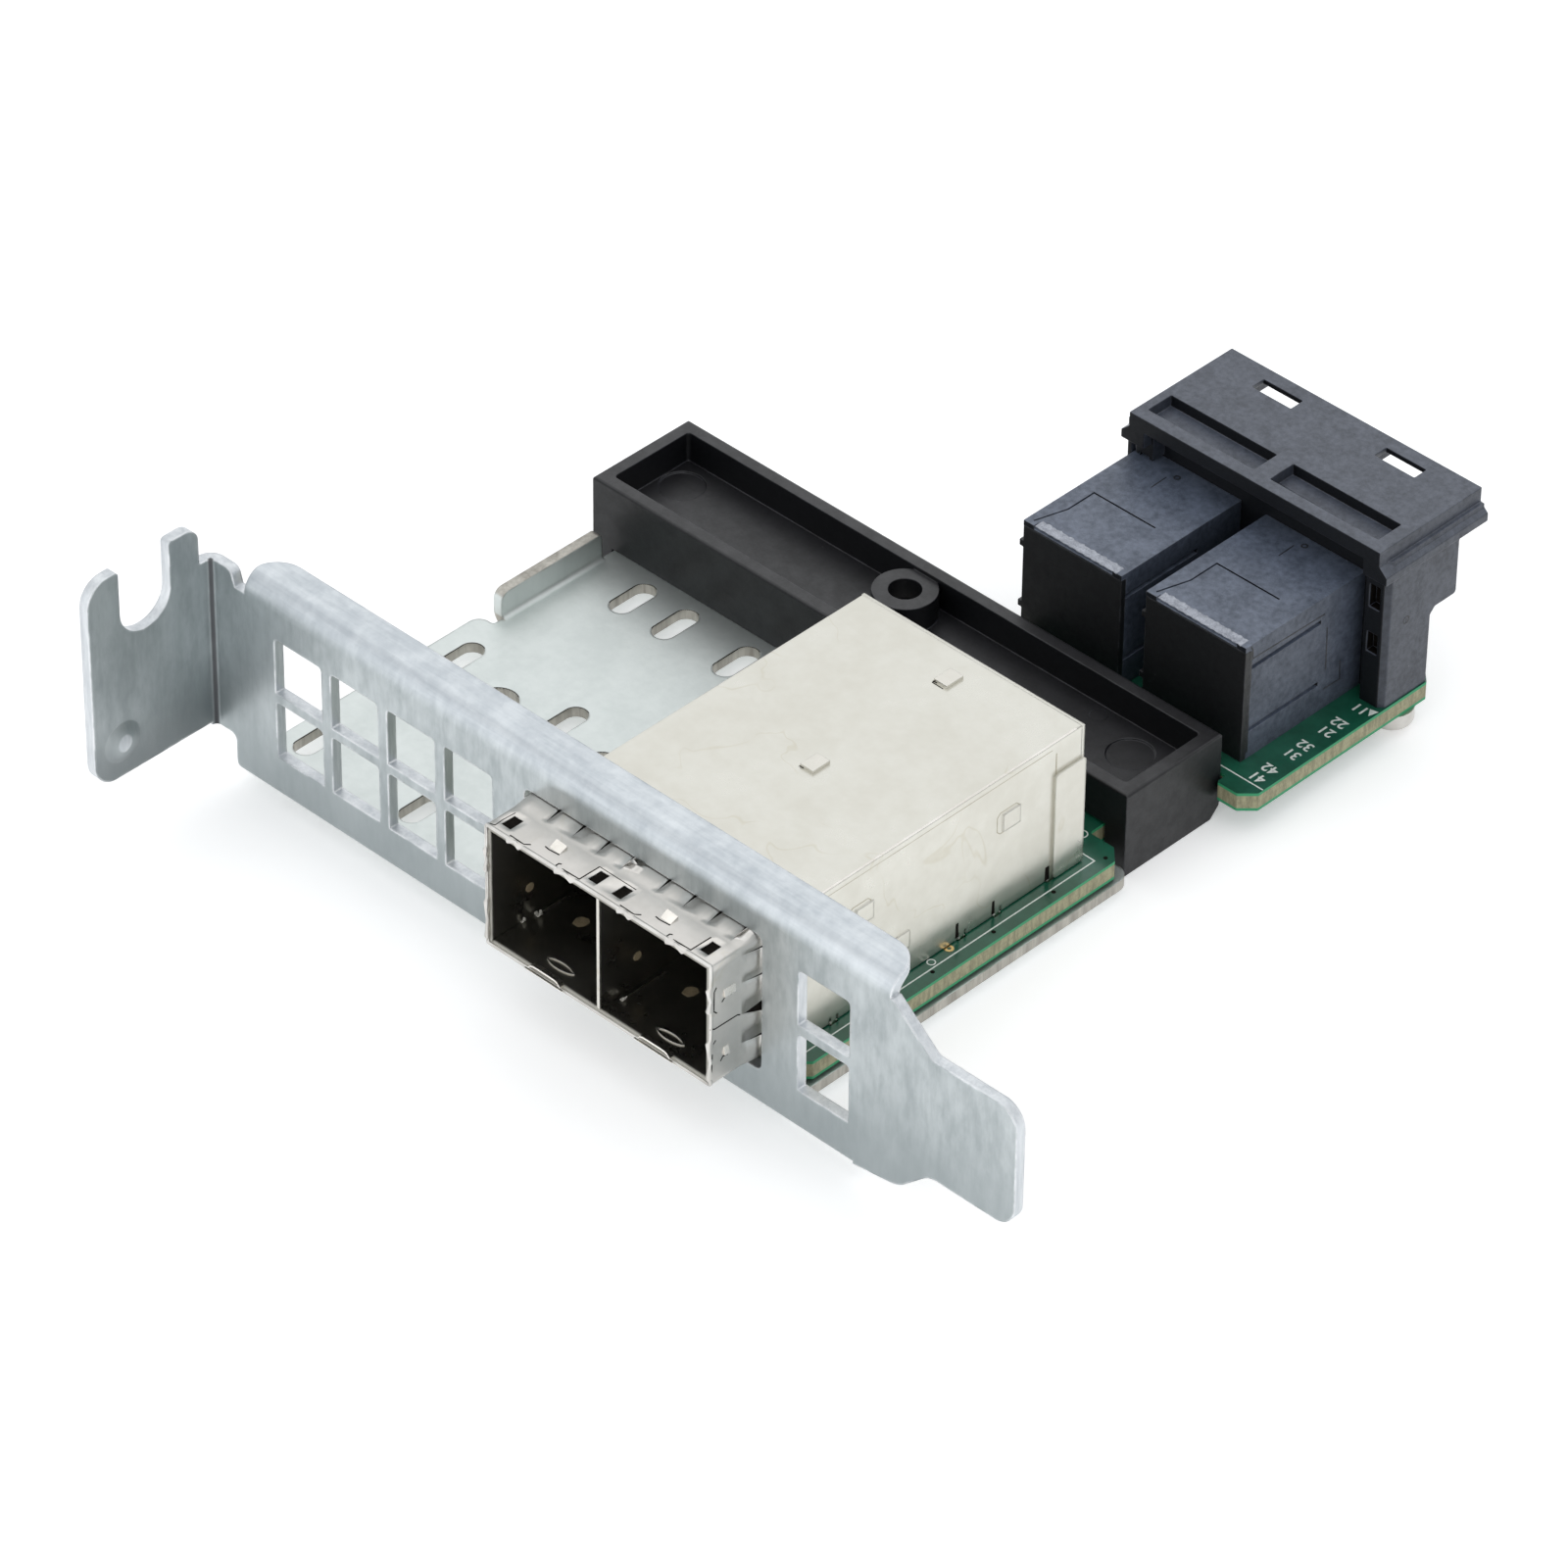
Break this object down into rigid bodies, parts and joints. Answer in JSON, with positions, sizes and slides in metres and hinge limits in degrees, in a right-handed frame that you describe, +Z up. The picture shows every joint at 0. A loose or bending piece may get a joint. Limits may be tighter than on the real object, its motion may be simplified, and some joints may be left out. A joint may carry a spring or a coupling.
{
  "type": "mini-sas adapter card",
  "caption": "Low-profile bracket card that leads caged external cable ports through a narrow board to internal sockets, on a folded sheet tray.",
  "frame": {"origin": "centre of the bounding box at its bottom, on the plane that the bar's end posts rest on", "axes": "+X along the bracket from the screw tab to the tongue, +Y from the bracket's face into the chassis, +Z up from the tray towards the cage's top"},
  "size_m": [0.0792, 0.083, 0.0227],
  "materials": {
    "zinc_steel": "zinc plated, satin",
    "cage_metal": "nickel plated, smooth",
    "board": "green solder mask",
    "film": "translucent film",
    "black_plastic": "moulded, satin",
    "bar_plastic": "moulded, matt",
    "contacts": "gold flash",
    "screw_steel": "nickel plated"
  },
  "bodies": {
    "root": {"bracket_tray": "zinc_steel", "insulating_film": "film", "circuit_board": "board", "cage_shell": "cage_metal", "cage_floor": "cage_metal", "cage_divider": "cage_metal", "cage_rear_cover": "cage_metal", "emi_collar": "cage_metal", "external_receptacle_left": "black_plastic", "external_receptacle_right": "black_plastic", "external_contacts_left": "contacts", "external_contacts_right": "contacts", "stiffening_bar": "bar_plastic", "bar_screw": "screw_steel", "shroud_housing": "black_plastic", "terminal_block_left": "black_plastic", "terminal_block_right": "black_plastic", "block_front_left": "black_plastic", "block_front_right": "black_plastic", "internal_contacts_left": "contacts", "internal_contacts_right": "contacts", "shroud_screws": "screw_steel"}
  },
  "joints": []
}
